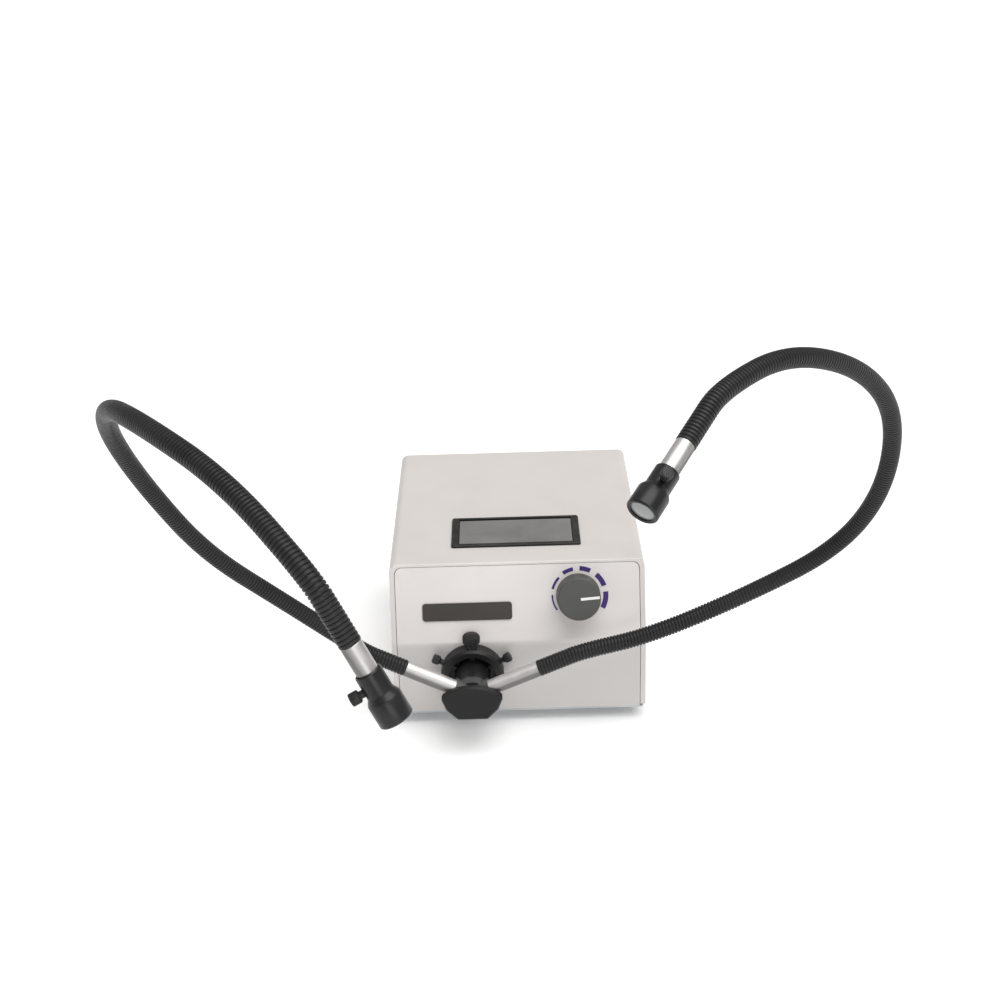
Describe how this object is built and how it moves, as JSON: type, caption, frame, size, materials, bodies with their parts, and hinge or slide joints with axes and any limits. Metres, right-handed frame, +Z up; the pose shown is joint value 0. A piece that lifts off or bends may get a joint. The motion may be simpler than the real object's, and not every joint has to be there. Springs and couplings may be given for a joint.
{
  "type": "fiber optic illuminator",
  "caption": "Bench light source box with a dimmer knob and a plug-in light guide whose two gooseneck arms end in focusing lens heads.",
  "frame": {"origin": "centre of the chassis underside, 8 mm above the surface that the feet stand on", "axes": "+X to the right of someone facing the control panel, +Y to the back, +Z up"},
  "size_m": [0.433, 0.5295, 0.3211],
  "materials": {
    "housing_paint": "light warm grey textured paint",
    "plated_steel": "nickel plated, satin",
    "zinc_steel": "zinc plated sheet",
    "foot_rubber": "matte black",
    "bezel_black": "fine grained black",
    "handle_grey": "mottled mid grey",
    "pot_metal": "satin",
    "knob_grey": "satin dark grey moulding",
    "pointer_white": "white",
    "mark_violet": "printed violet ink",
    "plate_dark": "dark printed plate",
    "collar_black": "black anodised, satin",
    "screw_black": "black oxide, knurled",
    "guide_black": "black anodised, satin",
    "cap_black": "black moulded, smooth",
    "bare_aluminium": "turned, satin",
    "hose_black": "black ribbed sheath, slight sheen",
    "fibre_glass": "packed glass fibre",
    "barrel_black": "black anodised, satin",
    "lens_glass": "polished",
    "filter_glass": "polished",
    "lamp_mirror": "faceted dichroic reflector",
    "socket_ceramic": "ceramic",
    "core_iron": "varnished laminations",
    "winding_copper": "enamelled wire",
    "board_green": "solder mask",
    "standoff_brass": "turned",
    "sink_aluminium": "extruded",
    "fan_black": "moulded black",
    "guard_chrome": "bright wire",
    "switch_black": "moulded black"
  },
  "bodies": {
    "housing": {"cover": "housing_paint", "cover_screws": "plated_steel", "front_panel": "housing_paint", "base_chassis": "zinc_steel", "feet": "foot_rubber", "foot_screws": "plated_steel", "handle_bezel": "bezel_black", "handle_pin": "plated_steel", "potentiometer": "pot_metal", "dial_marks": "mark_violet", "name_plate": "plate_dark", "nose_collar": "collar_black", "collar_nut": "collar_black", "lamp_bracket": "zinc_steel", "heat_filter": "filter_glass", "reflector_lamp": "lamp_mirror", "lamp_socket": "socket_ceramic", "transformer_core": "core_iron", "transformer_winding": "winding_copper", "control_board": "board_green", "board_standoffs": "standoff_brass", "heat_sink": "sink_aluminium", "fan_frame": "fan_black", "fan_guard": "guard_chrome", "fan_screws": "plated_steel", "rear_panel": "housing_paint", "power_inlet": "switch_black", "power_switch": "switch_black", "fuse_holder": "switch_black"},
    "knob": {"intensity_knob": "knob_grey", "knob_pointer": "pointer_white", "potentiometer_shaft": "pot_metal"},
    "rocker": {"switch_rocker": "switch_black"},
    "fan": {"fan_rotor": "fan_black"},
    "handle": {"carry_handle": "handle_grey"},
    "nose_screw": {"nose_thumbscrew": "screw_black"},
    "left_collar_screw": {"left_side_screw": "screw_black"},
    "right_collar_screw": {"right_side_screw": "screw_black"},
    "fuse_carrier": {"fuse_cap": "switch_black"},
    "guide_plug": {"guide_shaft": "guide_black", "guide_ferrule": "plated_steel", "common_bundle": "fibre_glass"},
    "light_guide": {"junction_block": "guide_black", "junction_cap": "cap_black", "left_junction_sleeve": "bare_aluminium", "right_junction_sleeve": "bare_aluminium", "left_gooseneck": "hose_black", "right_gooseneck": "hose_black", "left_bundle": "fibre_glass", "right_bundle": "fibre_glass", "left_end_sleeve": "bare_aluminium", "right_end_sleeve": "bare_aluminium"},
    "left_head": {"left_lens_barrel": "barrel_black", "left_lens": "lens_glass", "left_lens_ring": "collar_black"},
    "right_head": {"right_lens_barrel": "barrel_black", "right_lens": "lens_glass", "right_lens_ring": "collar_black"},
    "left_head_screw": {"left_barrel_screw": "plated_steel"},
    "right_head_screw": {"right_barrel_screw": "plated_steel"}
  },
  "joints": [
    {"name": "knob_turn", "type": "hinge", "parent": "housing", "child": "knob", "pos_m": [0.0392, -0.08629, 0.08072], "axis": [0, -0.9496, 0.3134], "range_deg": [-45, 225]},
    {"name": "rocker_tilt", "type": "hinge", "parent": "housing", "child": "rocker", "pos_m": [0.036, 0.0937, 0.066], "axis": [1, 0, 0], "range_deg": [-20, 0]},
    {"name": "fan_spin", "type": "hinge", "parent": "housing", "child": "fan", "pos_m": [-0.0395, 0.08, 0.056], "axis": [0, 1, 0], "continuous": true},
    {"name": "handle_lift", "type": "hinge", "parent": "housing", "child": "handle", "pos_m": [0, -0.02145, 0.1018], "axis": [-1, 0, 0], "range_deg": [0, 90]},
    {"name": "nose_screw_turn", "type": "hinge", "parent": "housing", "child": "nose_screw", "pos_m": [-0.0307, -0.10025, 0.0312], "axis": [0, 0, 1], "range_deg": [0, 360]},
    {"name": "left_collar_screw_turn", "type": "hinge", "parent": "housing", "child": "left_collar_screw", "pos_m": [-0.0307, -0.10025, 0.0312], "axis": [-0.8788, 0, 0.4772], "range_deg": [0, 360]},
    {"name": "right_collar_screw_turn", "type": "hinge", "parent": "housing", "child": "right_collar_screw", "pos_m": [-0.0307, -0.10025, 0.0312], "axis": [0.8788, 0, 0.4772], "range_deg": [0, 360]},
    {"name": "fuse_cap_turn", "type": "hinge", "parent": "housing", "child": "fuse_carrier", "pos_m": [0.06, 0.0955, 0.066], "axis": [0, 1, 0], "range_deg": [0, 90]},
    {"name": "guide_slide", "type": "slide", "parent": "housing", "child": "guide_plug", "axis": [0, -1, 0], "range_m": [0, 0.03]},
    {"name": "guide_turn", "type": "hinge", "parent": "guide_plug", "child": "light_guide", "pos_m": [-0.0307, -0.121, 0.0312], "axis": [0, -1, 0], "range_deg": [-20, 20]},
    {"name": "left_head_slide", "type": "slide", "parent": "light_guide", "child": "left_head", "axis": [0.4634, -0.1738, -0.8689], "range_m": [-0.002, 0.004]},
    {"name": "right_head_slide", "type": "slide", "parent": "light_guide", "child": "right_head", "axis": [-0.5284, -0.7231, -0.445], "range_m": [-0.004, 0.003]},
    {"name": "left_head_screw_turn", "type": "hinge", "parent": "left_head", "child": "left_head_screw", "pos_m": [-0.06204, -0.41574, 0.22232], "axis": [-0.8791, -0.2134, -0.4262], "range_deg": [0, 360]},
    {"name": "right_head_screw_turn", "type": "hinge", "parent": "right_head", "child": "right_head_screw", "pos_m": [0.06395, -0.34386, 0.27901], "axis": [0.2238, -0.6242, 0.7485], "range_deg": [0, 360]}
  ]
}
